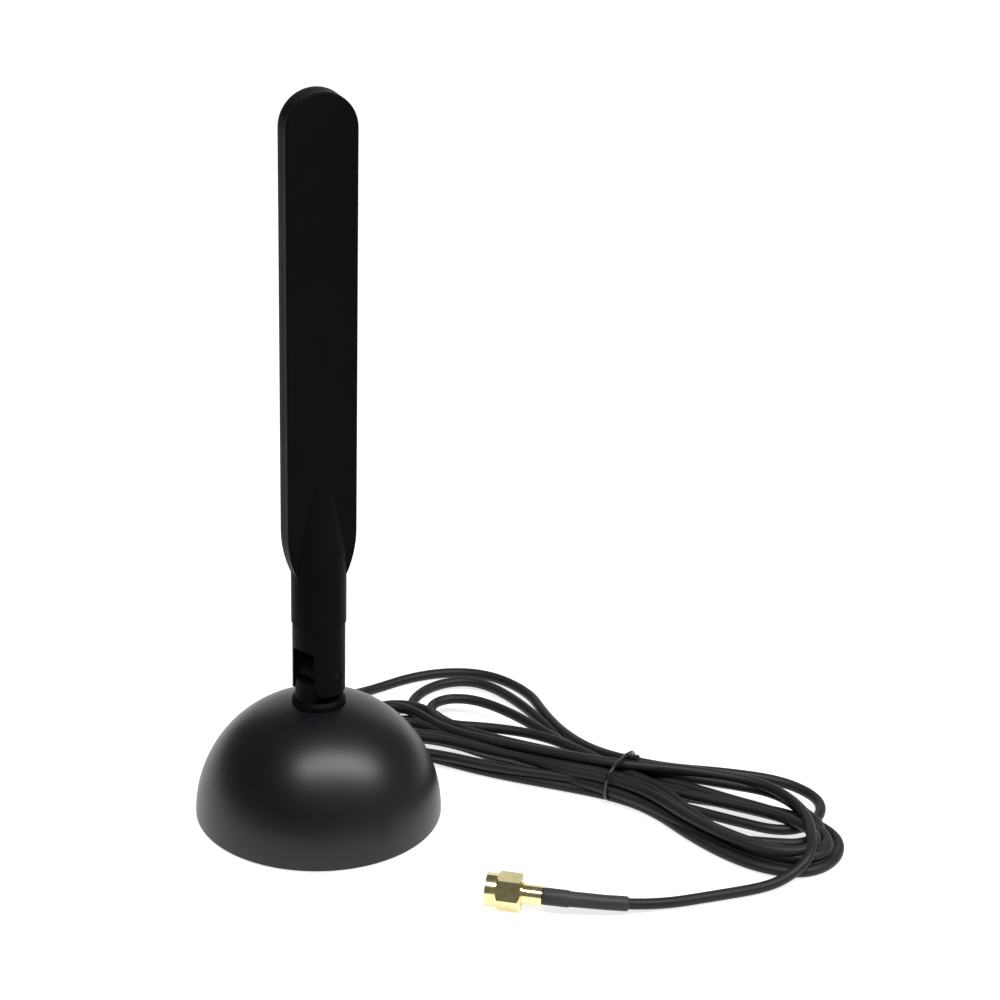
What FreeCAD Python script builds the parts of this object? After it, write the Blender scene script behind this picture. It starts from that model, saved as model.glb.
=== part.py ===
# Wifi antenna: a paddle antenna that swivels and folds on a knuckle, on a weighted dome stand, with a
# coaxial lead bundled by a twist tie and a screw-on plug. Millimetres, +Z up; the dome's axis is Z and
# its rubber pad stands on z = 0.
import FreeCAD, Part
import math
import os
import re

import Sketcher
from FreeCAD import Placement, Rotation, Vector

doc = FreeCAD.newDocument("wifi_antenna")
subparts = []

# Driving dimensions
sizes = {
    "dome_radius": 30.3,
    "dome_wall": 2.0,
    "rim_height": 0.5,
    "pad_inset": 0.5,
    "pad_thickness": 1.6,
    "plate_thickness": 3.2,
    "plate_clearance": 0.5,
    "magnet_radius": 16.0,
    "magnet_bore_radius": 6.0,
    "magnet_thickness": 5.0,
    "magnet_floor": 0.8,
    "magnet_clearance": 0.2,
    "hub_height": 3.6,
    "boss_circle": 21.5,
    "boss_radius": 3.2,
    "screw_shank_radius": 1.25,
    "screw_head_radius": 2.5,
    "screw_head_height": 1.6,
    "screw_length": 9.0,
    "screw_clearance": 0.2,
    "cable_hole_height": 8.6,
    "grommet_neck_radius": 2.6,
    "grommet_flange_radius": 3.5,
    "grommet_lip": 1.4,
    "grommet_depth": 2.6,
    "cable_radius": 1.32,
    "cable_clearance": 0.1,
    "seat_depth": 1.6,
    "seat_thickness": 3.2,
    "seat_boss_radius": 9.0,
    "collar_radius": 6.5,
    "collar_height": 2.9,
    "collar_chamfer": 0.7,
    "stem_radius": 3.0,
    "stem_length": 7.7,
    "stem_clearance": 0.1,
    "stem_bore_radius": 1.5,
    "stem_bore_depth": 11.9,
    "washer_radius": 5.5,
    "washer_thickness": 0.8,
    "post_nut_flats": 9.0,
    "post_nut_thickness": 3.0,
    "pin_rise": 9.6,
    "pin_radius": 1.25,
    "pin_length": 12.6,
    "pin_chamfer": 0.25,
    "pin_clearance": 0.04,
    "tongue_width": 6.0,
    "tongue_radius": 4.2,
    "tongue_reach": 5.95,
    "shoulder_drop": 1.3,
    "hinge_clearance": 0.3,
    "knuckle_radius": 6.4,
    "ear_drop": 4.7,
    "ear_round": 6.3,
    "lip_bevel": 1.3,
    "knuckle_rise": 13.2,
    "stub_radius": 3.6,
    "stub_length": 3.0,
    "flange_radius": 4.6,
    "flange_thickness": 2.0,
    "swivel_gap": 0.15,
    "swivel_clearance": 0.1,
    "feed_radius": 0.9,
    "feed_clearance": 0.3,
    "neck_radius": 6.65,
    "neck_length": 18.8,
    "cone_length": 21.0,
    "cone_end_radius": 3.1,
    "blade_length": 129.8,
    "blade_half_width": 8.55,
    "blade_thickness": 6.4,
    "blade_edge_radius": 0.6,
    "seam_depth": 0.25,
    "seam_half_width": 0.15,
    "shoulder_rise": 5.2,
    "blade_corner_radius": 28.0,
    "blade_wall": 1.5,
    "board_rise": 28.0,
    "board_tip_gap": 9.8,
    "board_half_width": 4.5,
    "board_thickness": 0.8,
    "rib_margin": 4.0,
    "rib_half_length": 5.5,
    "rib_height": 1.2,
    "strip_half_width": 2.5,
    "strip_thickness": 0.2,
    "strip_margin": 6.0,
    "plug_flats": 7.94,
    "ferrule_radius": 2.25,
    "ferrule_length": 4.6,
    "nut_gap": 0.2,
    "hex_length": 5.8,
    "hex_chamfer": 0.5,
    "nut_collar_radius": 3.9,
    "nut_collar_length": 2.6,
    "thread_radius": 2.8,
    "thread_length": 2.2,
    "relief_radius": 3.35,
    "plug_barrel_radius": 2.6,
    "plug_barrel_length": 3.9,
    "plug_face_radius": 2.3,
    "plug_face_length": 2.1,
    "plug_running_fit": 0.1,
    "ring_offset": 1.8,
    "ring_groove_length": 1.0,
    "ring_length": 0.6,
    "ring_groove_depth": 0.4,
    "gasket_radius": 3.1,
    "gasket_length": 0.8,
    "insulator_radius": 1.5,
    "insulator_length": 5.4,
    "contact_radius": 0.46,
    "contact_length": 5.9,
    "solder_cup_radius": 0.28,
    "solder_cup_depth": 1.5,
    "sleeve_radius": 1.75,
    "sleeve_step": 0.3,
    "hank_height": 8.0,
    "hank_lift": 0.1,
    "hank_edge_round": 2.2,
    "tie_wire_radius": 0.45,
    "tie_half_width": 7.4,
    "tie_tail_length": 6.0,
}

# Sizes and heights that follow from the driving dimensions
following = {
    "plate_radius": "dome_radius - dome_wall - plate_clearance",
    "pad_radius": "plate_radius - pad_inset",
    "seat_height": "rim_height + dome_radius - seat_depth",
    "pin_height": "seat_height + pin_rise",
    "knuckle_top": "pin_height + knuckle_rise",
    "cone_start": "knuckle_top + neck_length",
    "blade_shoulder": "cone_start + shoulder_rise",
    "blade_top": "knuckle_top + blade_length",
    "board_start": "knuckle_top + board_rise",
    "board_length": "blade_top - board_tip_gap - board_start",
}

sheet = doc.addObject("Spreadsheet::Sheet", "Dimensions")
cells = {alias: str(number) for alias, number in sizes.items()}
cells.update({alias: "=" + rule for alias, rule in following.items()})
for row, (alias, content) in enumerate(cells.items(), start=1):
    sheet.set("A%d" % row, alias)
    sheet.setAlias("B%d" % row, alias)
    sheet.set("B%d" % row, content)
doc.recompute()

# Where the turned groups of pieces stand: the hinge opens to the left front, the blade faces a little
# to the right, and the plug lies on a flat of its nut with its nose to the left.
hinge_place = Placement(Vector(), Rotation(Vector(0, 0, 1), -128))
blade_place = Placement(Vector(), Rotation(Vector(0, 0, 1), 23.5))
plug_nose = Vector(42.3, -41.1, 4.0)
plug_axis = Vector(-0.9836, 0.1805, 0).normalize()
screw_angles = (30, 150, 270)


def size(alias):
    """The value that the sheet holds under an alias."""
    return float(sheet.get(alias))


def full(rule):
    """A sizing rule with the sheet's name put before each alias."""
    return re.sub(r"[a-z_]+", lambda word: ("Dimensions." if word[0] in cells else "") + word[0], rule)


def bind(item, rules):
    """Tie properties of an object to the sheet."""
    for path, rule in rules.items():
        item.setExpression(path, full(rule))


def keep(item, label, place=None):
    """Count an object as a finished piece under its label, moved with its group if that is turned."""
    item.Label = label
    if place:
        item.Placement = place
    subparts.append(item)
    return item


# Building blocks

axis_turns = {"X": Rotation(Vector(0, 1, 0), 90), "Y": Rotation(Vector(1, 0, 0), -90), "Z": Rotation()}


def rod(name, radius, start, length, along="Z", at=("0", "0")):
    """A cylinder along one axis from `start`; `at` holds its other two coordinates in X, Y, Z order."""
    item = doc.addObject("Part::Cylinder", name)
    item.Placement = Placement(Vector(), axis_turns[along])
    base = list(at)
    base.insert("XYZ".index(along), start)
    bind(item, {"Radius": radius, "Height": length})
    bind(item, {"Placement.Base." + axis: rule for axis, rule in zip("xyz", base)})
    return item


def taper(name, first_radius, last_radius, start, length):
    """A cone frustum about Z from `start` upwards."""
    item = doc.addObject("Part::Cone", name)
    bind(item, {"Radius1": first_radius, "Radius2": last_radius, "Height": length})
    bind(item, {"Placement.Base.z": start})
    return item


def block(name, low, high):
    """A box between two corners."""
    item = doc.addObject("Part::Box", name)
    for side, axis, first, last in zip(("Length", "Width", "Height"), "xyz", low, high):
        bind(item, {side: "(%s) - (%s)" % (last, first), "Placement.Base." + axis: first})
    return item


def hexagon(name, flats, start, length):
    """A hexagonal prism about Z with two flats facing +Y and -Y."""
    item = doc.addObject("Part::Prism", name)
    item.Polygon = 6
    bind(item, {"Circumradius": "%s / 2 / cos(30)" % flats, "Height": length, "Placement.Base.z": start})
    return item


def half_ball(name, radius):
    """The upper half of a ball that stands on the dome's rim plane."""
    item = doc.addObject("Part::Sphere", name)
    item.Angle1 = 0
    bind(item, {"Radius": radius, "Placement.Base.z": "rim_height"})
    return item


def join(name, parts):
    item = doc.addObject("Part::MultiFuse", name)
    item.Shapes = parts
    item.Refine = True
    return item


def overlap(name, parts):
    item = doc.addObject("Part::MultiCommon", name)
    item.Shapes = parts
    return item


def cut(name, base, tools):
    item = doc.addObject("Part::Cut", name)
    item.Base = base
    item.Tool = tools[0] if len(tools) == 1 else join(name + "_cutters", tools)
    return item


def shaped(label, shape):
    """A piece whose shape is worked out in code from the sheet's values."""
    item = doc.addObject("Part::Feature", label)
    item.Shape = shape
    return keep(item, label)


# Stand: pad, floor, magnet and dome

plate_bottom = "pad_thickness"
plate_top = plate_bottom + " + plate_thickness"
magnet_seat = plate_bottom + " + magnet_floor"
screw_seat = plate_bottom + " + screw_head_height + screw_clearance"
dome_inside = "dome_radius - dome_wall"
seat_bottom = "seat_height - seat_thickness"


def round_the_stand(angle):
    """The two coordinates of a screw at an angle round the stand."""
    return ("boss_circle * cos(%d)" % angle, "boss_circle * sin(%d)" % angle)


def foot_pad():
    keep(rod("foot_pad", "pad_radius", "0", "pad_thickness"), "foot_pad")


def base_plate():
    disc = rod("plate_disc", "plate_radius", plate_bottom, "plate_thickness")
    pocket = rod("magnet_pocket", "magnet_radius + magnet_clearance", magnet_seat, "plate_thickness")
    hub_radius = "magnet_bore_radius - magnet_clearance"
    hub = rod("magnet_hub", hub_radius, plate_bottom, "magnet_floor + hub_height")
    holes = []
    for angle in screw_angles:
        at = round_the_stand(angle)
        head = "screw_head_radius + screw_clearance"
        shank = "screw_shank_radius + screw_clearance"
        holes.append(rod("plate_counterbore", head, "0", screw_seat, at=at))
        holes.append(rod("plate_hole", shank, "0", plate_top + " + plate_thickness", at=at))
    dish = join("plate_dish", [cut("plate_ring", disc, [pocket]), hub])
    keep(cut("base_plate", dish, holes), "base_plate")


def base_magnet():
    ring = rod("magnet_disc", "magnet_radius", magnet_seat, "magnet_thickness")
    bore = rod("magnet_bore", "magnet_bore_radius", magnet_seat, "magnet_thickness")
    keep(cut("base_magnet", ring, [bore]), "base_magnet")


def base_screws():
    screws = []
    for angle in screw_angles:
        at = round_the_stand(angle)
        head_bottom = plate_bottom + " + screw_clearance"
        head = rod("screw_head", "screw_head_radius", head_bottom, "screw_head_height", at=at)
        shank = rod("screw_shank", "screw_shank_radius", screw_seat, "screw_length", at=at)
        screws.append(join("screw", [head, shank]))
    keep(join("base_screws", screws), "base_screws")


def dome_shell():
    hollow = half_ball("dome_hollow", dome_inside)
    skin = cut("dome_skin", half_ball("dome_outside", "dome_radius"), [hollow])
    posts = [rod("seat_boss", "seat_boss_radius", seat_bottom, "dome_radius")]
    holes = [rod("spot_face", "collar_radius + stem_clearance", "seat_height", "dome_radius")]
    holes.append(rod("stem_hole", "stem_radius + stem_clearance", "0", "2 * dome_radius"))
    holes.append(rod("cable_hole", "grommet_neck_radius", "dome_radius / 2", "dome_radius", "Y",
                     ("0", "cable_hole_height")))
    for angle in screw_angles:
        at = round_the_stand(angle)
        posts.append(rod("screw_boss", "boss_radius", plate_top, "dome_radius", at=at))
        pilot = "screw_length + screw_clearance"
        holes.append(rod("screw_pilot", "screw_shank_radius", screw_seat, pilot, at=at))
    limit = half_ball("boss_limit", "dome_radius - dome_wall / 2")
    bosses = overlap("dome_bosses", [join("boss_posts", posts), limit])
    keep(cut("dome_shell", join("dome_body", [skin, bosses]), holes), "dome_shell")


def cable_grommet():
    first = dome_inside + " - grommet_depth"
    length = "dome_wall + grommet_depth + grommet_lip"
    at = ("0", "cable_hole_height")
    flange = rod("grommet_flange", "grommet_flange_radius", first, length, "Y", at)
    outer = cut("grommet_outer", flange, [half_ball("grommet_dome", "dome_radius")])
    inner = overlap("grommet_inner", [flange, half_ball("grommet_hollow", dome_inside)])
    neck = rod("grommet_neck", "grommet_neck_radius", first, length, "Y", at)
    bore = rod("grommet_bore", "cable_radius + cable_clearance", first, length, "Y", at)
    keep(cut("cable_grommet", join("grommet_body", [outer, inner, neck]), [bore]), "cable_grommet")


# Hinge: post on the dome, fork above it and the pin through both

collar_top = "seat_height + collar_height"
shoulder = "pin_height - shoulder_drop"
half_tongue = "tongue_width / 2"
half_slot = "tongue_width / 2 + hinge_clearance"
roof = "pin_height + tongue_reach + hinge_clearance"
ear_bottom = "pin_height - ear_drop"


def hinge_post():
    collar = rod("collar", "collar_radius", "seat_height", "collar_height - collar_chamfer")
    edge = taper("collar_edge", "collar_radius", "collar_radius - collar_chamfer",
                 collar_top + " - collar_chamfer", "collar_chamfer")
    stem = rod("stem", "stem_radius", "seat_height - stem_length", "stem_length")
    stand = block("tongue_block", ("-tongue_radius", "-" + half_tongue, collar_top),
                  ("tongue_reach", half_tongue, shoulder))
    reach = rod("tongue_reach_limit", "tongue_reach", collar_top, "pin_height")
    head = rod("tongue_head", "tongue_radius", "-" + half_tongue, "tongue_width", "Y", ("0", "pin_height"))
    tongue = overlap("tongue_stand", [stand, reach])
    bore = rod("stem_bore", "stem_bore_radius", "seat_height - stem_length", "stem_bore_depth")
    pin_hole = rod("tongue_pin_hole", "pin_radius + pin_clearance", "-tongue_width", "2 * tongue_width", "Y",
                   ("0", "pin_height"))
    body = join("post_body", [collar, edge, stem, tongue, head])
    keep(cut("hinge_post", body, [bore, pin_hole]), "hinge_post", hinge_place)


def post_washer():
    disc = rod("washer_disc", "washer_radius", seat_bottom + " - washer_thickness", "washer_thickness")
    hole = rod("washer_hole", "stem_radius + stem_clearance", "0", "2 * dome_radius")
    keep(cut("post_washer", disc, [hole]), "post_washer")


def post_nut():
    start = seat_bottom + " - washer_thickness - post_nut_thickness"
    blank = hexagon("post_nut_blank", "post_nut_flats", start, "post_nut_thickness")
    hole = rod("post_nut_thread", "stem_radius", "0", "2 * dome_radius")
    keep(cut("post_nut", blank, [hole]), "post_nut", hinge_place)


def hinge_fork():
    barrel = rod("fork_barrel", "knuckle_radius", ear_bottom, "knuckle_top - pin_height + ear_drop")
    stub = rod("fork_stub", "stub_radius", "knuckle_top", "stub_length")
    flange = rod("fork_flange", "flange_radius", "knuckle_top + stub_length", "flange_thickness")
    slot = block("fork_slot", ("-tongue_radius - hinge_clearance", "-(%s)" % half_slot, "0"),
                 ("2 * knuckle_radius", half_slot, roof))
    # The bevel over the window is a box turned on its edge, with one corner line in the roof.
    bevel = doc.addObject("Part::Box", "fork_bevel")
    bevel.Placement = Placement(Vector(), Rotation(Vector(0, 1, 0), 45))
    bevel_side = "lip_bevel * sqrt(2)"
    bind(bevel, {"Length": bevel_side, "Width": "2 * (%s)" % half_slot, "Height": bevel_side})
    bind(bevel, {"Placement.Base.x": "knuckle_radius - lip_bevel", "Placement.Base.y": "-(%s)" % half_slot,
                 "Placement.Base.z": roof})
    # The lower front corners of the ears are rounded about the pin so that the fork can fold forwards.
    side = "2 * knuckle_radius"
    corner = block("ear_corner", ("0", "-" + side, "0"), (side, side, "pin_height"))
    swing = rod("ear_swing", "ear_round", "-" + side, "2 * " + side, "Y", ("0", "pin_height"))
    pin_hole = rod("ear_pin_hole", "pin_radius", "-" + side, "2 * " + side, "Y", ("0", "pin_height"))
    bore = rod("feed_hole", "feed_radius + feed_clearance", "pin_height", "knuckle_top")
    body = join("fork_body", [barrel, stub, flange])
    openings = [slot, bevel, cut("ear_waste", corner, [swing]), pin_hole, bore]
    keep(cut("hinge_fork", body, openings), "hinge_fork", hinge_place)


def hinge_pin():
    """Built upright about its middle, then laid across the hinge."""
    tip = "pin_radius - pin_chamfer"
    shank = rod("pin_shank", "pin_radius", "pin_chamfer - pin_length / 2", "pin_length - 2 * pin_chamfer")
    lower = taper("pin_lower_end", tip, "pin_radius", "-pin_length / 2", "pin_chamfer")
    upper = taper("pin_upper_end", "pin_radius", tip, "pin_length / 2 - pin_chamfer", "pin_chamfer")
    across = Placement(Vector(0, 0, size("pin_height")), axis_turns["Y"])
    keep(join("hinge_pin", [shank, lower, upper]), "hinge_pin", hinge_place.multiply(across))


# Blade: two shells round the swivel stub, with the radiator inside

neck_bottom = "knuckle_top + swivel_gap"
chamber_bottom = "knuckle_top + stub_length - swivel_gap"
chamber_top = "knuckle_top + stub_length + flange_thickness + swivel_gap"


def sketch_on(body, role, name):
    """A sketch on one of a body's own origin planes."""
    sketch = body.newObject("Sketcher::SketchObject", name)
    plane = next(item for item in body.Origin.OriginFeatures if item.Role == role)
    sketch.AttachmentSupport = [(plane, "")]
    sketch.MapMode = "FlatFace"
    return sketch


def place_point(sketch, curve, end, rules):
    """Hold a point of a sketch at two coordinates, each a sizing rule."""
    for axis, rule, kind in zip((-2, -1), rules, ("DistanceX", "DistanceY")):
        if rule == "0":
            sketch.addConstraint(Sketcher.Constraint("PointOnObject", curve, end, axis))
            continue
        point = sketch.getPoint(curve, end)
        now = point.x if kind == "DistanceX" else point.y
        index = sketch.addConstraint(Sketcher.Constraint(kind, -1, 1, curve, end, now))
        sketch.setExpression("Constraints[%d]" % index, full(rule))


def polygon(sketch, corners):
    """A closed outline of straight lines through corners given as pairs of sizing rules."""
    first = sketch.GeometryCount
    count = len(corners)
    spread = size("blade_half_width")
    rough = []
    for index in range(count):
        angle = 2 * math.pi * index / count
        rough.append(Vector(spread * (2 + math.cos(angle)), spread * (8 + math.sin(angle)), 0))
    for index in range(count):
        sketch.addGeometry(Part.LineSegment(rough[index], rough[(index + 1) % count]))
    for index in range(count):
        follower = first + (index + 1) % count
        sketch.addConstraint(Sketcher.Constraint("Coincident", first + index, 2, follower, 1))
    for index, rules in enumerate(corners):
        place_point(sketch, first + index, 1, rules)


def rectangle(sketch, low, high):
    polygon(sketch, [low, (high[0], low[1]), high, (low[0], high[1])])


def paddle(sketch, inset):
    """The blade's outline: round top, straight sides, lower corners drawn in by large arcs."""
    half = size("blade_half_width") - size(inset) if inset else size("blade_half_width")
    top = size("blade_top") - size("blade_half_width")
    low = size("blade_shoulder")
    big = size("blade_corner_radius") - (size("blade_half_width") - half)
    tip = math.acos((big - half) / big)
    up = Vector(0, 0, 1)
    less = " - " + inset if inset else ""
    sketch.addGeometry(Part.ArcOfCircle(Part.Circle(Vector(0, top, 0), up, half), 0, math.pi))
    sketch.addGeometry(Part.LineSegment(Vector(-half, top, 0), Vector(-half, low, 0)))
    left = Part.Circle(Vector(big - half, low, 0), up, big)
    sketch.addGeometry(Part.ArcOfCircle(left, math.pi, math.pi + tip))
    right = Part.Circle(Vector(half - big, low, 0), up, big)
    sketch.addGeometry(Part.ArcOfCircle(right, 2 * math.pi - tip, 2 * math.pi))
    sketch.addGeometry(Part.LineSegment(Vector(half, low, 0), Vector(half, top, 0)))
    arc, left_side, left_arc, right_arc, right_side = range(5)
    for one, one_end, other, other_end in ((arc, 2, left_side, 1), (left_side, 2, left_arc, 1),
                                           (right_arc, 2, right_side, 1), (right_side, 2, arc, 1)):
        sketch.addConstraint(Sketcher.Constraint("Tangent", one, one_end, other, other_end))
    sketch.addConstraint(Sketcher.Constraint("Coincident", left_arc, 2, right_arc, 1))
    sketch.addConstraint(Sketcher.Constraint("Vertical", left_side))
    sketch.addConstraint(Sketcher.Constraint("Vertical", right_side))
    place_point(sketch, arc, 3, ("0", "blade_top - blade_half_width"))
    for curve, radius, rule in ((arc, half, "blade_half_width"), (left_arc, big, "blade_corner_radius"),
                                (right_arc, big, "blade_corner_radius")):
        index = sketch.addConstraint(Sketcher.Constraint("Radius", curve, radius))
        sketch.setExpression("Constraints[%d]" % index, full(rule + less))
    for curve, end in ((left_side, 2), (right_side, 1)):
        index = sketch.addConstraint(Sketcher.Constraint("DistanceY", -1, 1, curve, end, low))
        sketch.setExpression("Constraints[%d]" % index, full("blade_shoulder"))


def blade_shell(label, is_back):
    """One half of the blade, from the parting plane outwards, with half of the neck and swivel socket."""
    body = doc.addObject("PartDesign::Body", label)

    def feature(kind, name, profile, rules):
        item = body.newObject("PartDesign::" + kind, label + name)
        item.Profile = profile
        bind(item, rules)
        return item

    outline = sketch_on(body, "XZ_Plane", label + "_outline")
    paddle(outline, None)
    slab = feature("Pad", "_slab", outline, {"Length": "blade_thickness / 2"})
    slab.Reversed = is_back
    doc.recompute()

    outward = 1 if is_back else -1
    faces = slab.Shape.Faces
    outer = max(range(len(faces)), key=lambda index: outward * faces[index].CenterOfMass.y)
    rounding = body.newObject("PartDesign::Fillet", label + "_rounding")
    rounding.Base = (slab, ["Face%d" % (outer + 1)])
    bind(rounding, {"Radius": "blade_edge_radius"})

    # Half of the seam round the blade's edge: a small step beside the parting plane.
    seam_outline = sketch_on(body, "XZ_Plane", label + "_seam_outline")
    paddle(seam_outline, "seam_depth")
    rectangle(seam_outline, ("-2 * blade_half_width", "knuckle_top"),
              ("2 * blade_half_width", "blade_top + blade_half_width"))
    seam = feature("Pocket", "_seam", seam_outline, {"Length": "seam_half_width"})
    seam.Reversed = not is_back

    neck_profile = sketch_on(body, "XZ_Plane", label + "_neck_profile")
    cone_end = "cone_start + cone_length"
    polygon(neck_profile, [("0", neck_bottom), ("neck_radius", neck_bottom), ("neck_radius", "cone_start"),
                           ("cone_end_radius", cone_end), ("0", cone_end)])
    neck = feature("Revolution", "_neck", neck_profile, {})
    neck.ReferenceAxis = (neck_profile, ["V_Axis"])
    neck.Angle = 180
    neck.Reversed = not is_back
    doc.recompute()

    hollow_outline = sketch_on(body, "XZ_Plane", label + "_hollow_outline")
    paddle(hollow_outline, "blade_wall")
    hollow = feature("Pocket", "_hollow", hollow_outline, {"Length": "blade_thickness / 2 - blade_wall"})
    hollow.Reversed = not is_back

    socket_profile = sketch_on(body, "XZ_Plane", label + "_socket_profile")
    stub_hole = "stub_radius + swivel_clearance"
    chamber = "flange_radius + swivel_clearance"
    feed_hole = "feed_radius + feed_clearance"
    polygon(socket_profile, [("0", "knuckle_top"), (stub_hole, "knuckle_top"), (stub_hole, chamber_bottom),
                             (chamber, chamber_bottom), (chamber, chamber_top), (feed_hole, chamber_top),
                             (feed_hole, "blade_shoulder"), ("0", "blade_shoulder")])
    socket = feature("Groove", "_socket", socket_profile, {})
    socket.ReferenceAxis = (socket_profile, ["V_Axis"])
    socket.Angle = 180
    socket.Reversed = not is_back
    doc.recompute()

    rib_outline = sketch_on(body, "XZ_Plane", label + "_rib_outline")
    for level in ("board_start + rib_margin", "board_start + board_length / 2",
                  "board_start + board_length - rib_margin"):
        rectangle(rib_outline, ("-rib_half_length", level), ("rib_half_length", level + " + rib_height"))
    bind(rib_outline, {"AttachmentOffset.Base.z": ("-" if is_back else "") + "board_thickness / 2"})
    ribs = feature("Pad", "_ribs", rib_outline,
                   {"Length": "blade_thickness / 2 - blade_wall / 2 - board_thickness / 2"})
    ribs.Reversed = is_back
    keep(body, label, blade_place)


def radiator_board():
    body = doc.addObject("PartDesign::Body", "radiator_board")
    outline = sketch_on(body, "XZ_Plane", "board_outline")
    rectangle(outline, ("-board_half_width", "board_start"),
              ("board_half_width", "board_start + board_length"))
    board = body.newObject("PartDesign::Pad", "board_pad")
    board.Profile = outline
    board.Midplane = True
    bind(board, {"Length": "board_thickness"})
    keep(body, "radiator_board", blade_place)


def dipole_strips():
    middle = "board_start + board_length / 2"
    first = "board_start + strip_margin"
    strips = []
    for low, high in ((first, middle + " - rib_height"),
                      (middle + " + 2 * rib_height", "board_start + board_length - strip_margin")):
        strips.append(block("strip", ("-strip_half_width", "-board_thickness / 2 - strip_thickness", low),
                            ("strip_half_width", "-board_thickness / 2", high)))
    keep(join("dipole_strips", strips), "dipole_strips", blade_place)


def feed_coax():
    keep(rod("feed_coax", "feed_radius", roof, "board_start - (%s)" % roof), "feed_coax")


# Plug: built along Z from the back of the ferrule to the nose of the nut, then laid down

nut_start = "ferrule_length + nut_gap"
hex_end = nut_start + " + hex_length"
nose = hex_end + " + nut_collar_length"
thread_start = nose + " - thread_length"
barrel_end = "ferrule_length + plug_barrel_length"
face_end = barrel_end + " + plug_face_length"
ring_start = "ferrule_length + ring_offset"
ring_middle = ring_start + " + ring_groove_length / 2"
plug_length = sum(size(part) for part in ("ferrule_length", "nut_gap", "hex_length", "nut_collar_length"))
plug_back = plug_nose - plug_axis * plug_length
upright = Vector(0, 0, 1)
plug_place = Placement(plug_back, Rotation(upright.cross(plug_axis), upright, plug_axis, "ZYX"))


def crimp_ferrule():
    tube = rod("ferrule_tube", "ferrule_radius", "0", "ferrule_length")
    bore = rod("ferrule_bore", "cable_radius + cable_clearance", "0", "ferrule_length")
    keep(cut("crimp_ferrule", tube, [bore]), "crimp_ferrule", plug_place)


def connector_body():
    barrel = rod("barrel", "plug_barrel_radius", "ferrule_length", "plug_barrel_length")
    face = rod("plug_face", "plug_face_radius", barrel_end, "plug_face_length")
    disc = rod("groove_disc", "2 * plug_barrel_radius", ring_start, "ring_groove_length")
    floor_radius = "plug_barrel_radius - ring_groove_depth"
    groove = cut("ring_groove", disc, [rod("groove_floor", floor_radius, ring_start, "ring_groove_length")])
    bore = rod("body_bore", "insulator_radius", "0", nose)
    blank = join("body_blank", [barrel, face])
    keep(cut("connector_body", blank, [groove, bore]), "connector_body", plug_place)


def connector_insulator():
    plug = rod("insulator_rod", "insulator_radius", face_end + " - insulator_length", "insulator_length")
    bore = rod("insulator_bore", "contact_radius", "0", nose)
    keep(cut("connector_insulator", plug, [bore]), "connector_insulator", plug_place)


def center_contact():
    back = face_end + " - contact_length"
    pin = rod("contact_rod", "contact_radius", back, "contact_length")
    cup = rod("solder_cup", "solder_cup_radius", back, "solder_cup_depth")
    keep(cut("center_contact", pin, [cup]), "center_contact", plug_place)


def nut_retaining_ring():
    start = ring_middle + " - ring_length / 2"
    disc = rod("ring_disc", "plug_barrel_radius + ring_groove_depth", start, "ring_length")
    hole = rod("ring_hole", "plug_barrel_radius - ring_groove_depth", start, "ring_length")
    outer_side = "2 * plug_barrel_radius"
    gap = block("ring_gap", ("0", "-ring_length", start), (outer_side, "ring_length", face_end))
    keep(cut("nut_retaining_ring", disc, [hole, gap]), "nut_retaining_ring", plug_place)


def connector_gasket():
    disc = rod("gasket_disc", "gasket_radius", barrel_end, "gasket_length")
    hole = rod("gasket_hole", "plug_face_radius", barrel_end, "gasket_length")
    keep(cut("connector_gasket", disc, [hole]), "connector_gasket", plug_place)


def coupling_nut():
    corner = "plug_flats / 2 / cos(30)"
    flats = hexagon("nut_hexagon", "plug_flats", nut_start, "hex_length")
    lower = taper("nut_lower_chamfer", corner + " - hex_chamfer", corner, nut_start, "hex_chamfer")
    upper = taper("nut_upper_chamfer", corner, corner + " - hex_chamfer", hex_end + " - hex_chamfer",
                  "hex_chamfer")
    middle = rod("nut_middle", corner, nut_start + " + hex_chamfer", "hex_length - 2 * hex_chamfer")
    blank = overlap("nut_blank", [flats, join("nut_turned", [lower, middle, upper])])
    collar = rod("nut_collar", "nut_collar_radius", hex_end, "nut_collar_length")
    groove = "plug_barrel_radius + ring_groove_depth + plug_running_fit"
    holes = [rod("nut_back_hole", "plug_barrel_radius + plug_running_fit", "0", nose)]
    holes.append(rod("nut_groove", groove, ring_start, "ring_groove_length"))
    holes.append(rod("nut_relief", "relief_radius", ring_start + " + ring_groove_length",
                     "%s - (%s) - ring_groove_length" % (thread_start, ring_start)))
    holes.append(rod("nut_thread", "thread_radius", thread_start, "2 * thread_length"))
    keep(cut("coupling_nut", join("nut_body", [blank, collar]), holes), "coupling_nut", plug_place)


# Lead: a round cable along hand-chosen points, and the hank as one closed solid

cable_lift = 0.13
floor_level = size("cable_radius") + cable_lift
hole_level = size("cable_hole_height")
meeting_depth = 0.9 * size("dome_wall")
in_grommet = Vector(0, size("dome_radius") - meeting_depth, hole_level)
stem_end = size("seat_height") - size("stem_length")
inner_drop = 9
bore_end_gap = 0.4
lead_points = [in_grommet, Vector(0, size("dome_radius") + 12, hole_level), Vector(6.5, 58, floor_level),
               Vector(22.5, 70.9, floor_level), Vector(39.1, 73.1, floor_level),
               Vector(51.8, 62.8, floor_level), Vector(57.2, 48.8, floor_level),
               Vector(65, 27, floor_level)]
inner_points = [in_grommet, Vector(0, size("dome_radius") - 7, hole_level),
                Vector(0, 0, stem_end - inner_drop),
                Vector(0, 0, stem_end + size("stem_bore_depth") - bore_end_gap)]
tail_points = [plug_back + plug_axis * 4, plug_back - plug_axis * 10, Vector(81.5, -41.2, floor_level),
               Vector(97, -36.1, floor_level), Vector(112.5, -24.5, floor_level)]
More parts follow.
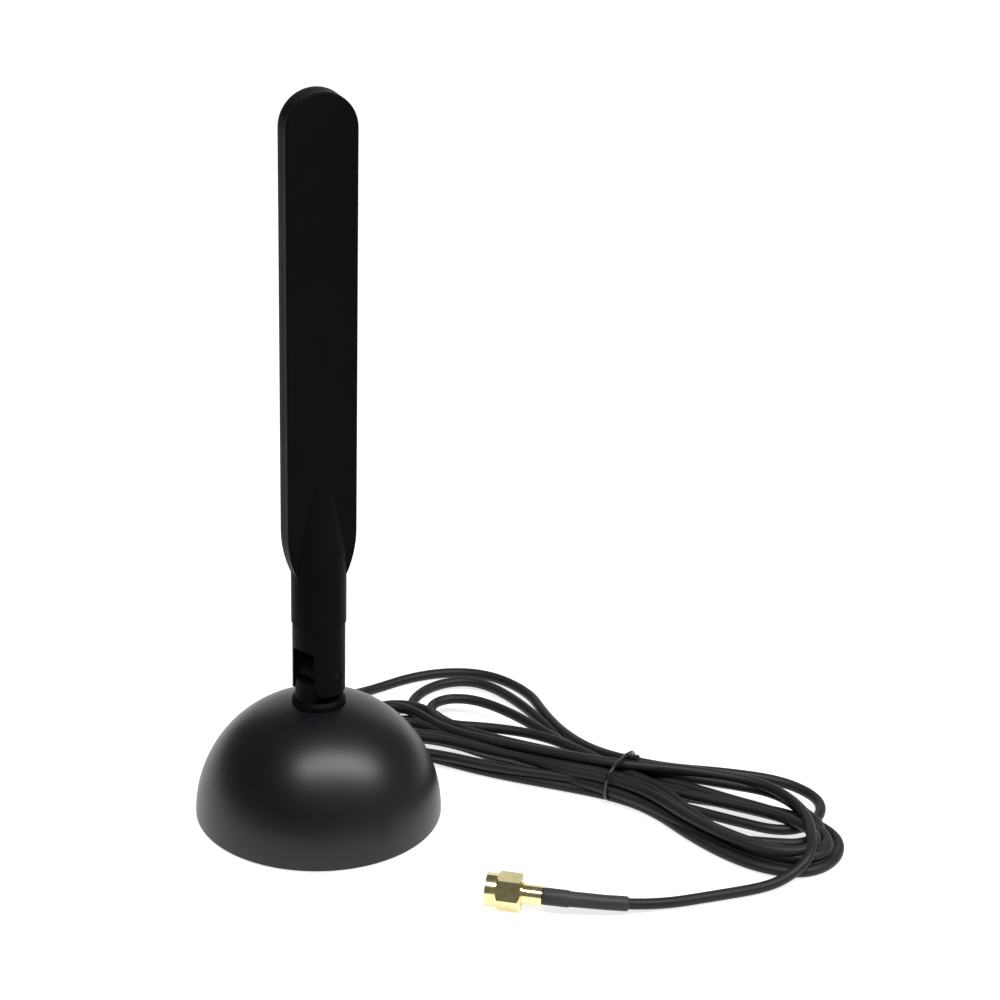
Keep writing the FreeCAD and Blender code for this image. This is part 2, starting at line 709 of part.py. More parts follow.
hank_centre = Vector(74.8, 11.4, 0)
hank_place = Placement(hank_centre, Rotation(Vector(0, 0, 1), math.degrees(math.atan2(-0.494, 0.869))))
# The hank's outline, along its length and across it from the tie: left loops, waist, right loops.
hank_outline = [(-71, 6), (-67, -5), (-54, -12), (-40, -13.5), (-26, -11), (-12, -7.5), (0, -6.5),
                (12, -8), (28, -14), (40, -16.5), (52, -15), (59, -9), (61.5, 2), (57, 10), (51, 15),
                (46, 21), (37, 23.5), (26, 21), (14, 15.5), (0, 6.5), (-10, 8.5), (-22, 13.5), (-36, 20.5),
                (-50, 26.5), (-62, 28), (-70, 20)]


def runs_and_arcs(points):
    """Straight runs joined by tangent arcs, each corner's radius set by its turn and its shorter run."""
    corner_share = 0.45
    edges = []
    start = points[0]
    for before, corner, after in zip(points, points[1:], points[2:]):
        into = corner - before
        out = after - corner
        reach = corner_share * min(into.Length, out.Length)
        half_turn = into.getAngle(out) / 2
        radius = reach / math.tan(half_turn)
        into.normalize()
        out.normalize()
        inward = (out - into).normalize()
        first = corner - into * reach
        last = corner + out * reach
        middle = corner + inward * (radius / math.cos(half_turn) - radius)
        edges.append(Part.LineSegment(start, first).toShape())
        edges.append(Part.Arc(first, middle, last).toShape())
        print("bend radius %.1f mm" % radius)
        start = last
    edges.append(Part.LineSegment(start, points[-1]).toShape())
    return edges


def tube(edges, radius):
    """A round solid along a chain of edges."""
    path = Part.Wire(edges)
    start = edges[0].Vertexes[0].Point
    heading = edges[0].Vertexes[1].Point - start
    ring = Part.Wire(Part.Circle(start, heading, radius).toShape())
    solid = path.makePipeShell([ring], True, True)
    print("volume over section times length %.4f" % (solid.Volume / (math.pi * radius ** 2 * path.Length)))
    return solid


def cable_runs():
    radius = size("cable_radius")
    shaped("cable_lead", tube(runs_and_arcs(lead_points), radius))
    shaped("inner_lead", tube(runs_and_arcs(inner_points), radius))
    shaped("cable_tail", tube(runs_and_arcs(tail_points), radius))


def heat_shrink_sleeve():
    """Shrink tube over the first bend of the tail, thicker where it meets the ferrule."""
    run, bend, next_run = runs_and_arcs(tail_points)[:3]
    run = Part.LineSegment(plug_back, run.Vertexes[1].Point).toShape()
    radius = size("sleeve_radius")
    outside = tube([run, bend, next_run], radius).fuse(tube([run], radius + size("sleeve_step")))
    inside = tube([run, bend, next_run], size("cable_radius"))
    shaped("heat_shrink_sleeve", outside.cut(inside).removeSplitter())


def tie_loop():
    """The twist tie's loop round the waist of the hank and its short twisted tail, in the hank's frame."""
    wire = size("tie_wire_radius")
    low = size("hank_lift") + wire
    high = size("hank_lift") + size("hank_height") + wire
    middle = (low + high) / 2
    round_end = (high - low) / 2
    half = size("tie_half_width") - round_end
    corners = [Vector(0, -half, low), Vector(0, half, low), Vector(0, half, high), Vector(0, -half, high)]
    right = Part.Arc(corners[1], Vector(0, half + round_end, middle), corners[2])
    left = Part.Arc(corners[3], Vector(0, -half - round_end, middle), corners[0])
    edges = [Part.LineSegment(corners[0], corners[1]).toShape(), right.toShape(),
             Part.LineSegment(corners[2], corners[3]).toShape(), left.toShape()]
    ring = Part.Wire(Part.Circle(corners[0], Vector(0, 1, 0), wire).toShape())
    loop = Part.Wire(edges).makePipeShell([ring], True, True)
    twist_radius = 1.4 * wire
    tail_foot = Vector(0, 1, high)
    tail_heading = Vector(0.9, 0.35, 0.25)
    tail = Part.makeCylinder(twist_radius, size("tie_tail_length"), tail_foot, tail_heading)
    return loop.fuse(tail)


def cable_hank():
    points = [Vector(along, across, size("hank_lift")) for along, across in hank_outline]
    curve = Part.BSplineCurve()
    curve.interpolate(points, PeriodicFlag=True)
    block_shape = Part.Face(Part.Wire(curve.toShape())).extrude(Vector(0, 0, size("hank_height")))
    rims = [edge for edge in block_shape.Edges if edge.BoundBox.ZLength < size("hank_height") / 2]
    cushion = block_shape.makeFillet(size("hank_edge_round"), rims)
    keep_hank = shaped("cable_hank", cushion.cut(tie_loop()))
    keep_hank.Placement = hank_place
    keep_tie = shaped("cable_tie", tie_loop())
    keep_tie.Placement = hank_place


def main():
    for build in (foot_pad, base_plate, base_magnet, base_screws, dome_shell, cable_grommet, hinge_post,
                  post_washer, post_nut, hinge_fork, hinge_pin):
        build()
    blade_shell("blade_front_shell", False)
    blade_shell("blade_back_shell", True)
    for build in (radiator_board, dipole_strips, feed_coax, crimp_ferrule, connector_body,
                  connector_insulator, center_contact, nut_retaining_ring, connector_gasket, coupling_nut,
                  cable_runs, heat_shrink_sleeve, cable_hank):
        build()
    doc.recompute()
    for item in doc.Objects:
        if "Invalid" in item.State or "Error" in item.State:
            raise ValueError("failed object: " + item.Label)
    os.makedirs("parts", exist_ok=True)
    for item in subparts:
        if item.Shape.isNull() or not item.Shape.isValid():
            raise ValueError("bad shape: " + item.Label)
        item.Shape.exportStep("parts/%s.step" % item.Label)
        print("%-22s %9.1f mm3, %d solids" % (item.Label, item.Shape.Volume, len(item.Shape.Solids)))


main()
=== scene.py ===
import math

import bmesh
import bpy
from mathutils import Matrix, Vector


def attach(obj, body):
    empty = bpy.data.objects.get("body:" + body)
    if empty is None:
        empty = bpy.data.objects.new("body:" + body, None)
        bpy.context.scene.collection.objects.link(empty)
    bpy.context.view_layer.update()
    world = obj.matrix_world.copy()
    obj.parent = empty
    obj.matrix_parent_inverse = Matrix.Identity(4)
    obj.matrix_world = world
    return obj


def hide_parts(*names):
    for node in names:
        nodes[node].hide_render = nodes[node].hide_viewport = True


# The looks of a wifi antenna on a dome stand, in metres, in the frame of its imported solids.
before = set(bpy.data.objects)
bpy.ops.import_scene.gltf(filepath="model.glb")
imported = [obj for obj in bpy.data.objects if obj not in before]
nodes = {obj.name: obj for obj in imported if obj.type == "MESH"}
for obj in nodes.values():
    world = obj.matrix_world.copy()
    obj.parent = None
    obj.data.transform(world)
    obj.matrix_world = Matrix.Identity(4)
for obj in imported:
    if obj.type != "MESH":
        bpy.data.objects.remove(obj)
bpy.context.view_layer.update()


# Foot pad, grommet and gasket: black rubber, cut or moulded, with a dull and slightly cloudy skin.
# The pad is glued under the stand, a grommet lines the lead's way out of the dome, a gasket seals the plug.

def effect_group(name, inputs, outputs):
    """A shader node group with number inputs and number outputs."""
    tree = bpy.data.node_groups.new(name, "ShaderNodeTree")
    for label, value in inputs.items():
        socket = tree.interface.new_socket(name=label, in_out="INPUT", socket_type="NodeSocketFloat")
        socket.default_value = value
    for label in outputs:
        tree.interface.new_socket(name=label, in_out="OUTPUT", socket_type="NodeSocketFloat")
    return tree, tree.nodes.new("NodeGroupInput"), tree.nodes.new("NodeGroupOutput")


usual_clouding = 60.0
usual_grain = 2500.0
cloud_low = 0.3
cloud_high = 0.7
bump_strength = 0.6


def moulded_grain_group():
    """Broad clouding and fine grain of a moulded skin, both from the piece's own coordinates."""
    scales = {"Cloud Scale": usual_clouding, "Grain Scale": usual_grain}
    tree, given, result = effect_group("moulded_grain", scales, ("Cloud", "Grain"))
    place = tree.nodes.new("ShaderNodeTexCoord")
    for size, output, detail in (("Cloud Scale", "Cloud", 4.0), ("Grain Scale", "Grain", 2.0)):
        noise = tree.nodes.new("ShaderNodeTexNoise")
        noise.inputs["Detail"].default_value = detail
        tree.links.new(place.outputs["Object"], noise.inputs["Vector"])
        tree.links.new(given.outputs[size], noise.inputs["Scale"])
        tree.links.new(noise.outputs["Fac"], result.inputs[output])
    return tree


moulded_grain = moulded_grain_group()


def grained(name, dark, light, rough, grain_size, grain_depth, cloud_scale=usual_clouding, metallic=0.0,
            specular=0.5):
    """A material whose colour and gloss drift with the clouding and whose skin has the fine grain."""
    material = bpy.data.materials.new(name)
    material.use_nodes = True
    tree = material.node_tree
    shader = tree.nodes["Principled BSDF"]
    shader.inputs["Metallic"].default_value = metallic
    shader.inputs["Specular IOR Level"].default_value = specular
    grain = tree.nodes.new("ShaderNodeGroup")
    grain.node_tree = moulded_grain
    grain.inputs["Cloud Scale"].default_value = cloud_scale
    grain.inputs["Grain Scale"].default_value = 1.0 / grain_size
    colour = tree.nodes.new("ShaderNodeValToRGB")
    colour.color_ramp.elements[0].position = cloud_low
    colour.color_ramp.elements[1].position = cloud_high
    colour.color_ramp.elements[0].color = (*dark, 1.0)
    colour.color_ramp.elements[1].color = (*light, 1.0)
    gloss = tree.nodes.new("ShaderNodeMapRange")
    gloss.inputs["From Min"].default_value = cloud_low
    gloss.inputs["From Max"].default_value = cloud_high
    gloss.inputs["To Min"].default_value = rough[0]
    gloss.inputs["To Max"].default_value = rough[1]
    bump = tree.nodes.new("ShaderNodeBump")
    bump.inputs["Distance"].default_value = grain_depth
    bump.inputs["Strength"].default_value = bump_strength
    tree.links.new(grain.outputs["Cloud"], colour.inputs["Fac"])
    tree.links.new(colour.outputs["Color"], shader.inputs["Base Color"])
    tree.links.new(grain.outputs["Cloud"], gloss.inputs["Value"])
    tree.links.new(gloss.outputs["Result"], shader.inputs["Roughness"])
    tree.links.new(grain.outputs["Grain"], bump.inputs["Height"])
    tree.links.new(bump.outputs["Normal"], shader.inputs["Normal"])
    return material


def finish_nodes(material, *names):
    """Give pieces that keep their solid's shape a material."""
    for name in names:
        for slot in nodes[name].material_slots:
            slot.material = material


black_rubber = grained("black_rubber", dark=(0.012, 0.012, 0.012), light=(0.022, 0.022, 0.021),
                       rough=(0.62, 0.8), grain_size=0.0006, grain_depth=0.00004)
finish_nodes(black_rubber, "foot_pad", "cable_grommet", "connector_gasket")


# Dome stand: a moulded black hemisphere with a satin skin, screwed to a moulded floor from below.
# Its skin shows a soft broad highlight, faint clouding from handling and a fine moulded grain.

satin_dome = grained("satin_dome", dark=(0.0022, 0.0030, 0.0042), light=(0.0038, 0.0050, 0.0066),
                     rough=(0.33, 0.39), grain_size=0.0004, grain_depth=0.000006, cloud_scale=35.0,
                     specular=0.44)
finish_nodes(satin_dome, "dome_shell", "base_plate")


# Ballast and fixings inside the stand: a ferrite ring, zinc-plated screws and washer, a turned brass nut.
# None of them shows from outside.

ferrite = grained("ferrite", dark=(0.05, 0.05, 0.053), light=(0.09, 0.09, 0.095), rough=(0.55, 0.75),
                  grain_size=0.0003, grain_depth=0.00002)
zinc_steel = grained("zinc_steel", dark=(0.5, 0.51, 0.53), light=(0.62, 0.62, 0.63), rough=(0.25, 0.42),
                     grain_size=0.0002, grain_depth=0.000004, cloud_scale=400.0, metallic=1.0)
turned_brass = grained("turned_brass", dark=(0.62, 0.46, 0.2), light=(0.75, 0.58, 0.28), rough=(0.22, 0.36),
                       grain_size=0.0002, grain_depth=0.000004, cloud_scale=400.0, metallic=1.0)
finish_nodes(ferrite, "base_magnet")
finish_nodes(zinc_steel, "base_screws", "post_washer")
finish_nodes(turned_brass, "post_nut")


# Hinge post and fork: moulded black plastic, the post clamped on the dome by its stem and nut.
# The fork turns on a blackened steel cross pin and carries the swivel stub inside the blade's neck.

satin_hinge = grained("satin_hinge", dark=(0.0022, 0.0023, 0.0024), light=(0.0036, 0.0037, 0.0039),
                      rough=(0.42, 0.52), grain_size=0.0003, grain_depth=0.000006, cloud_scale=120.0,
                      specular=0.04)
finish_nodes(satin_hinge, "hinge_post", "hinge_fork")
blackened_steel = grained("blackened_steel", dark=(0.002, 0.002, 0.0021), light=(0.004, 0.004, 0.0042),
                          rough=(0.35, 0.45), grain_size=0.0002, grain_depth=0.000004, cloud_scale=400.0,
                          specular=0.08)
finish_nodes(blackened_steel, "hinge_pin")


# Blade: two moulded black halves closed on a circuit board, with a seam along their edge.
# The board carries two tinned copper arms and hangs on a thin coaxial feed.

satin_blade = grained("satin_blade", dark=(0.0040, 0.0040, 0.0042), light=(0.0066, 0.0066, 0.0070),
                      rough=(0.38, 0.48), grain_size=0.0003, grain_depth=0.000006, cloud_scale=45.0,
                      specular=0.02)
finish_nodes(satin_blade, "blade_front_shell", "blade_back_shell")
green_board = grained("green_board", dark=(0.02, 0.13, 0.06), light=(0.03, 0.17, 0.08), rough=(0.3, 0.45),
                      grain_size=0.0004, grain_depth=0.00001)
tinned_copper = grained("tinned_copper", dark=(0.72, 0.42, 0.28), light=(0.85, 0.56, 0.4), rough=(0.25, 0.4),
                        grain_size=0.0003, grain_depth=0.00001, cloud_scale=300.0, metallic=1.0)
finish_nodes(green_board, "radiator_board")
finish_nodes(tinned_copper, "dipole_strips")


# Lead: a round black coaxial cable in a soft satin jacket, from the grommet behind the dome to the plug.
# Its spare length is folded to and fro into a loose hank, pinched by a twist tie, and lies on the floor.

cable_diameter = 0.00264
floor_level = 0.00145
layer_rise = 0.0023
exit_height = 0.0086
lead_route = [(0.0, 0.0285, exit_height), (0.0, 0.0423, exit_height), (0.0065, 0.058, floor_level),
              (0.0225, 0.0709, floor_level), (0.0391, 0.0731, floor_level), (0.0518, 0.0628, floor_level),
              (0.0566, 0.0478, 0.0019)]
tail_route = [(0.097, -0.0368, floor_level), (0.0815, -0.0421, floor_level)]
plug_nose = Vector((0.0423, -0.0411, 0.004))
plug_axis = Vector((-0.9836, 0.1805, 0.0)).normalized()
plug_length = 0.0132
plug_back = plug_nose - plug_axis * plug_length
straight_behind_plug = 0.010
cable_in_plug = 0.003
tie_place = Vector((0.0748, 0.0114, 0.0))
hank_along = Vector((0.869, -0.494, 0.0))
hank_across = Vector((0.494, 0.869, 0.0))
least_fold = 0.0085

# Each turn of the hank, its right end then its left end: how far it reaches from the tie, how wide it lies
# behind and in front, its layer, how far its fold bulges, and how far the tie draws back its front strand.
hank_turns = [
    ((0.0490, 0.0232, -0.0001, 0.6, 0.94, 0.0), (-0.072, 0.0035, -0.0025, 0.0, 0.95, 0.0)),
    ((0.0595, 0.0123, -0.0150, 0.0, 0.92, 0.0), (-0.068, 0.0030, -0.0122, 0.0, 0.95, 0.0)),
    ((0.0580, 0.0095, -0.0118, 0.0, 0.92, 0.0), (-0.0685, 0.0275, 0.0030, 0.2, 1.20, 0.0)),
    ((0.0575, 0.0065, -0.0118, 1.0, 0.92, 0.0), (-0.060, 0.0158, 0.0012, 1.2, 0.97, 0.0080)),
    ((0.0565, 0.0075, -0.0090, 1.0, 0.92, 0.0), (-0.066, -0.0055, -0.0135, 1.0, 0.92, 0.0)),
    ((0.0550, 0.0040, -0.0125, 1.7, 0.92, 0.0), (-0.072, 0.0005, -0.0045, 1.0, 0.95, 0.0)),
    ((0.0530, 0.0162, -0.0110, 1.0, 0.65, 0.0), (-0.074, -0.0030, -0.0074, 1.2, 0.95, 0.0)),
]
# Where the strands pass through the tie, across and up in layers: those going right, then those going left.
right_going = [(0.0030, 3), (0.00135, 0), (0.0027, 1), (0.00405, 0), (0.0054, 1), (0.0, 1), (0.00405, 2),
               (0.0003, 3)]
left_going = [(-0.00135, 0), (-0.0039, 0), (-0.0054, 1), (0.00135, 2), (-0.0027, 1), (-0.00405, 2),
              (-0.00135, 2)]
# Three places along each strand, in shares of its reach: how far it has spread, how far the slant of the
# bundle through the tie carries it on the right and on the left, and its share of the drawing back.
strand_places = ((0.2, 0.17, 0.10, 0.10, 0.6), (0.45, 0.66, 0.0, 0.04, 1.0), (0.68, 0.98, 0.0, 0.0, 0.5))
# Five places round a fold: shares of the turn's reach and of the fold's half width.
fold_places = ((0.86, 1.0), (0.97, 0.64), (1.01, 0.0), (0.97, -0.64), (0.86, -1.0))
# How much faster a strand comes to its layer than it comes to its fold.
layer_haste = 1.3
# How the lead climbs to the tie and how the tail leaves it, along and across the hank and up in layers.
lead_onto_hank = [(-0.0240, 0.0155, 0.5), (-0.0120, 0.0080, 1.6)]
tail_over_hank = [(0.012, 0.0075, 2.6), (0.0260, 0.0140, 2.0), (0.0350, 0.0145, 2.0), (0.0425, 0.0110, 2.1),
                  (0.0490, 0.0055, 2.3), (0.0540, -0.0030, 2.3), (0.0565, -0.0095, 1.6),
                  (0.0545, -0.0150, 0.5), (0.0512, -0.0215, 0.0)]


def on_hank(along, across, layer):
    """A point of the hank: along and across it from the tie, and up in layers of cable."""
    height = floor_level + layer_rise * layer
    return tie_place + hank_along * along + hank_across * across + Vector((0, 0, height))


def lobe(reach, first, last, layer, bulge, start, end, drawn_out, drawn_in):
    """One end of a turn: out from the tie along one side, round the fold, and back along the other side."""
    middle = (first + last) / 2
    fold = math.copysign(max(abs(first - last) / 2, least_fold), first - last)
    out, back = [], []
    for share, spread, slant_right, slant_left, drawing in strand_places:
        along = reach * share
        slant = slant_right if reach > 0 else slant_left
        rise = min(1.0, layer_haste * share)
        for strand, side, knot, drawn in ((out, first, start, drawn_out), (back, last, end, drawn_in)):
            across = knot[0] + spread * (side - knot[0]) + slant * along + drawing * drawn
            strand.append((along, across, knot[1] + rise * (layer - knot[1])))
    tip = [(reach * share, middle + width * bulge * fold, layer) for share, width in fold_places]
    return out + tip + back[::-1]


def hank_route():
    """All the turns, from where the lead joins the tie to where the tail leaves it."""
    points = [on_hank(0.0, *right_going[0])]
    for turn, (right, left) in enumerate(hank_turns):
        going, coming, after = right_going[turn], left_going[turn], right_going[turn + 1]
        reach, behind, front, layer, bulge, drawn = right
        right_end = lobe(reach, behind, front, layer, bulge, going, coming, 0.0, drawn)
        points += [on_hank(*point) for point in right_end]
        points.append(on_hank(0.0, *coming))
        reach, behind, front, layer, bulge, drawn = left
        left_end = lobe(reach, front, behind, layer, bulge, coming, after, drawn, 0.0)
        points += [on_hank(*point) for point in left_end]
        points.append(on_hank(0.0, *after))
    return points


cable_points = [Vector(point) for point in lead_route]
cable_points += [on_hank(*place) for place in lead_onto_hank]
cable_points += hank_route()
cable_points += [on_hank(*place) for place in tail_over_hank]
cable_points += [Vector(point) for point in tail_route]
cable_points += [plug_back - plug_axis * straight_behind_plug, plug_back + plug_axis * cable_in_plug]


def in_scene(name, data):
    """A new object of the scene that shows a mesh, a curve, a light or a camera."""
    piece = bpy.data.objects.new(name, data)
    bpy.context.scene.collection.objects.link(piece)
    return piece


def add_spline(curve, kind, points):
    """A new spline of a curve that has the points as its control points."""
    spline = curve.splines.new(kind)
    spline.points.add(len(points) - 1)
    for point, place in zip(spline.points, points):
        point.co = (*place, 1.0)
    return spline


def smooth_route(name, points):
    """A curve object of one open, smooth spline."""
    curve = bpy.data.curves.new(name, "CURVE")
    curve.dimensions = "3D"
    spline = add_spline(curve, "NURBS", points)
    spline.order_u = 3
    spline.use_endpoint_u = True
    spline.resolution_u = 8
    return in_scene(name, curve)


def centre_line(piece):
    """The points that a curve without thickness runs through."""
    bpy.context.view_layer.update()
    mesh = bpy.data.meshes.new_from_object(piece.evaluated_get(bpy.context.evaluated_depsgraph_get()))
    line = [vertex.co.copy() for vertex in mesh.vertices]
    bpy.data.meshes.remove(mesh)
    return line


cable = smooth_route("coaxial_lead", cable_points)
cable_line = centre_line(cable)
cable.data.bevel_depth = cable_diameter / 2
cable.data.bevel_resolution = 5
cable.data.use_fill_caps = True
jacket = grained("cable_jacket", dark=(0.010, 0.010, 0.0107), light=(0.0165, 0.0165, 0.0172),
                 rough=(0.45, 0.56), grain_size=0.0005, grain_depth=0.00002, cloud_scale=90.0, specular=0.3)
cable.data.materials.append(jacket)
finish_nodes(jacket, "inner_lead", "feed_coax")
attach(cable, "stand")
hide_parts("cable_lead", "cable_hank", "cable_tail")


# Twist tie: a thin black plastic-covered wire, wound once round the waist of the hank and twisted off short.
# Its ends lie flat on the bundle, so that only a few glints of it show.

tie_wire = 0.0004
tie_half_width = 0.0075
tie_height = 0.0100
tie_squareness = 0.65
tie_slant = 0.0006
tie_steps = 24
twist_offset = 0.0024
twist_length = 0.0035
twist_turns = 2
steps_a_turn = 8
twist_steps = steps_a_turn * twist_turns
twist_heading = (hank_along * 0.95 + hank_across * 0.2).normalized()


def squared_off(wave):
    """A sine or cosine bent so that the ring it draws is squarer than a circle."""
    return math.copysign(abs(wave) ** tie_squareness, wave)


def tie_ring():
    """The wind of the tie round the bundle, an upright ring across the hank."""
    ring = []
    for step in range(tie_steps):
        angle = 2 * math.pi * step / tie_steps
        along = tie_slant * math.sin(angle)
        across = tie_half_width * squared_off(math.cos(angle))
        height = tie_height / 2 * (1 + squared_off(math.sin(angle))) + tie_wire
        ring.append(tie_place + hank_along * along + hank_across * across + Vector((0, 0, height)))
    return ring


def round_heading(heading, angle):
    """The direction at right angles to a level heading, turned round it by an angle."""
    side = heading.cross(Vector((0, 0, 1))).normalized()
    up = side.cross(heading)
    return side * math.cos(angle) + up * math.sin(angle)


def twist_strand(phase):
    """One of the two twisted ends, lying on the bundle to the right of the wind."""
    root = tie_place + hank_across * twist_offset + Vector((0, 0, tie_height))
    strand = []
    for step in range(twist_steps + 1):
        share = step / twist_steps
        turned = round_heading(twist_heading, phase + 2 * math.pi * twist_turns * share)
        strand.append(root + twist_heading * (twist_length * share) + turned * tie_wire)
    return strand


tie_curve = bpy.data.curves.new("twist_tie", "CURVE")
tie_curve.dimensions = "3D"
for closed, points in ((True, tie_ring()), (False, twist_strand(0.0)), (False, twist_strand(math.pi))):
    spline = add_spline(tie_curve, "POLY", points)
    spline.use_cyclic_u = closed
tie_curve.bevel_depth = tie_wire
tie_curve.bevel_resolution = 3
tie_curve.use_fill_caps = True
tie = in_scene("twist_tie", tie_curve)
tie_skin = grained("tie_skin", dark=(0.010, 0.010, 0.011), light=(0.016, 0.016, 0.017), rough=(0.14, 0.24),
                   grain_size=0.0004, grain_depth=0.00001, cloud_scale=500.0)
tie_curve.materials.append(tie_skin)
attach(tie, "stand")
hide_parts("cable_tie")


# Shrink tube: a short black sleeve shrunk over the cable and the plug's ferrule end.
# It is thickest at the plug, steps down over the bare cable, and its cut ends are slightly rounded.

sleeve_length = 0.0200
sleeve_profile = [(0.0, 0.00150), (0.0, 0.00195), (0.0004, 0.00205), (0.0058, 0.00203), (0.0066, 0.00184),
                  (0.0150, 0.00177), (0.0192, 0.00178), (0.0199, 0.00174), (sleeve_length, 0.00160),
                  (sleeve_length, 0.00133)]
sleeve_sides = 32
skipped_stretch = 0.0003


def point_on_line(line, distance):
    """The place and heading at a distance along a line of points."""
    gone = 0.0
    for before, after in zip(line, line[1:]):
        step = (after - before).length
        if gone + step >= distance:
            return before.lerp(after, (distance - gone) / step), (after - before).normalized()
        gone += step
    return line[-1], (line[-1] - line[-2]).normalized()


def sleeve_mesh():
    """Rings round the cable's own line, from the back of the plug, skipping the line's points close to it."""
    from_plug = [plug_back]
    for point in reversed(cable_line):
        if (plug_back - point).dot(plug_axis) > skipped_stretch:
            from_plug.append(point)
    mesh = bmesh.new()
    rings = []
    for distance, radius in sleeve_profile:
        place, heading = point_on_line(from_plug, distance)
        ring = []
        for step in range(sleeve_sides):
            outward = round_heading(heading, 2 * math.pi * step / sleeve_sides)
            ring.append(mesh.verts.new(place + outward * radius))
        rings.append(ring)
    for near, far in zip(rings, rings[1:]):
        for step in range(sleeve_sides):
            follower = (step + 1) % sleeve_sides
            face = mesh.faces.new((near[step], near[follower], far[follower], far[step]))
            face.smooth = True
    bmesh.ops.recalc_face_normals(mesh, faces=mesh.faces)
    data = bpy.data.meshes.new("shrink_tube")
    mesh.to_mesh(data)
    mesh.free()
    return data


sleeve = in_scene("shrink_tube", sleeve_mesh())
shrink_skin = grained("shrink_skin", dark=(0.036, 0.036, 0.037), light=(0.054, 0.054, 0.055),
                      rough=(0.4, 0.55), grain_size=0.0005, grain_depth=0.00003, cloud_scale=200.0,
                      specular=0.25)
sleeve.data.materials.append(shrink_skin)
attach(sleeve, "stand")
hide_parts("heat_shrink_sleeve")


# Plug: turned brass, gold plated and polished, with a hexagonal nut that spins on the body.
# A white insulator and a gold contact sit inside the nut; the ferrule is crimped on the cable.

gold = grained("gold_plate", dark=(0.86, 0.74, 0.36), light=(0.96, 0.86, 0.48), rough=(0.12, 0.24),
               grain_size=0.0002, grain_depth=0.000003, cloud_scale=700.0, metallic=1.0)
white_insulator = grained("white_insulator", dark=(0.78, 0.78, 0.75), light=(0.86, 0.86, 0.84),
                          rough=(0.4, 0.5), grain_size=0.0003, grain_depth=0.00001)
finish_nodes(gold, "crimp_ferrule", "connector_body", "center_contact", "nut_retaining_ring", "coupling_nut")
finish_nodes(white_insulator, "connector_insulator")


# Studio: a plain white floor and backdrop, a wide soft light overhead to the right and dim light all round.
# The camera looks down on the part from the front as the photograph does.

floor_reach = 4.0
floor_grey = 0.5
floor_brightness = 0.78
backdrop_reach = 1.0
backdrop_distance = 1.6
backdrop_height = 1.1
dim_light = 0.14
light_aim = Vector((0.05, 0.0, 0.05))
camera_place = (0.04264, -0.53891, 0.3186)
look_down = math.radians(23.45)
roll = math.radians(1.725)

floor_corners = [(-floor_reach, -floor_reach, 0), (floor_reach, -floor_reach, 0),
                 (floor_reach, floor_reach, 0), (-floor_reach, floor_reach, 0)]
backdrop_corners = [(-backdrop_reach, backdrop_distance, 0), (backdrop_reach, backdrop_distance, 0),
                    (backdrop_reach, backdrop_distance, backdrop_height),
                    (-backdrop_reach, backdrop_distance, backdrop_height)]
floor_data = bpy.data.meshes.new("floor")
floor_data.from_pydata(floor_corners + backdrop_corners, [], [(0, 1, 2, 3), (4, 5, 6, 7)])
floor = in_scene("floor", floor_data)
floor_paint = bpy.data.materials.new("floor_paint")
floor_paint.use_nodes = True
floor_tree = floor_paint.node_tree
floor_shader = floor_tree.nodes["Principled BSDF"]
floor_shader.inputs["Base Color"].default_value = (floor_grey, floor_grey, floor_grey, 1.0)
floor_shader.inputs["Roughness"].default_value = 0.9
floor_shader.inputs["Specular IOR Level"].default_value = 0.1
floor_shader.inputs["Emission Color"].default_value = (1.0, 1.0, 1.0, 1.0)


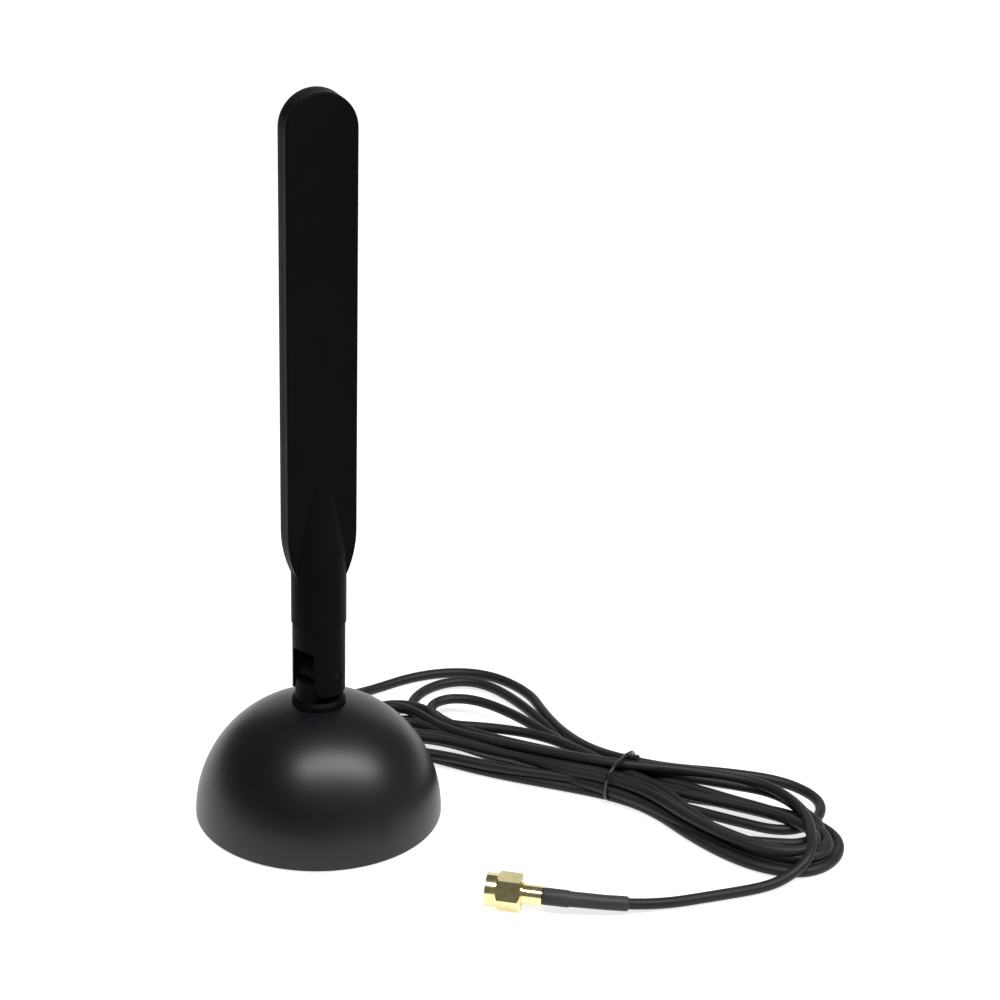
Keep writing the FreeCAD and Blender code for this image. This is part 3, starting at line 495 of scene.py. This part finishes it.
def seen_directly(tree):
    """1 for rays from the camera or from a mirror or glass, 0 for those that only carry light."""
    path = tree.nodes.new("ShaderNodeLightPath")
    seen = path.outputs["Is Camera Ray"]
    for kind in ("Is Glossy Ray", "Is Transmission Ray"):
        either = tree.nodes.new("ShaderNodeMath")
        either.operation = "MAXIMUM"
        tree.links.new(seen, either.inputs[0])
        tree.links.new(path.outputs[kind], either.inputs[1])
        seen = either.outputs["Value"]
    return seen


floor_glow = floor_tree.nodes.new("ShaderNodeMath")
floor_glow.operation = "MULTIPLY"
floor_glow.inputs[1].default_value = floor_brightness
floor_tree.links.new(seen_directly(floor_tree), floor_glow.inputs[0])
floor_tree.links.new(floor_glow.outputs["Value"], floor_shader.inputs["Emission Strength"])
floor_data.materials.append(floor_paint)

world = bpy.data.worlds.new("studio")
bpy.context.scene.world = world
world.use_nodes = True
world_light = world.node_tree.nodes["Background"]
world_light.inputs["Color"].default_value = (1.0, 1.0, 1.0, 1.0)
world_light.inputs["Strength"].default_value = dim_light


def soft_light(name, towards, distance, width, height, turn, power):
    """A rectangular soft light that faces the part from a direction, turned about its own axis."""
    lamp = bpy.data.lights.new(name, "AREA")
    lamp.shape = "RECTANGLE"
    lamp.size = width
    lamp.size_y = height
    lamp.energy = power
    piece = in_scene(name, lamp)
    direction = Vector(towards).normalized()
    piece.location = direction * distance + light_aim
    facing = direction.to_track_quat("Z", "Y").to_matrix() @ Matrix.Rotation(turn, 3, "Z")
    piece.rotation_euler = facing.to_euler()


soft_light("overhead_softbox", towards=(0.29, -0.31, 0.90), distance=1.2, width=1.7, height=0.33,
           turn=math.radians(-28), power=21.0)

camera_data = bpy.data.cameras.new("camera")
camera_data.sensor_width = 36.0
camera_data.lens = 90.0
camera_data.clip_start = 0.01
camera = in_scene("camera", camera_data)
ahead = Vector((0.0, math.cos(look_down), -math.sin(look_down)))
level = Vector((1.0, 0.0, 0.0))
upward = level.cross(ahead)
picture_right = level * math.cos(roll) + upward * math.sin(roll)
picture_up = upward * math.cos(roll) - level * math.sin(roll)
camera_turn = Matrix((picture_right, picture_up, -ahead)).transposed()
camera.matrix_world = Matrix.Translation(camera_place) @ camera_turn.to_4x4()
bpy.context.scene.camera = camera
bpy.context.scene.view_settings.view_transform = "Standard"
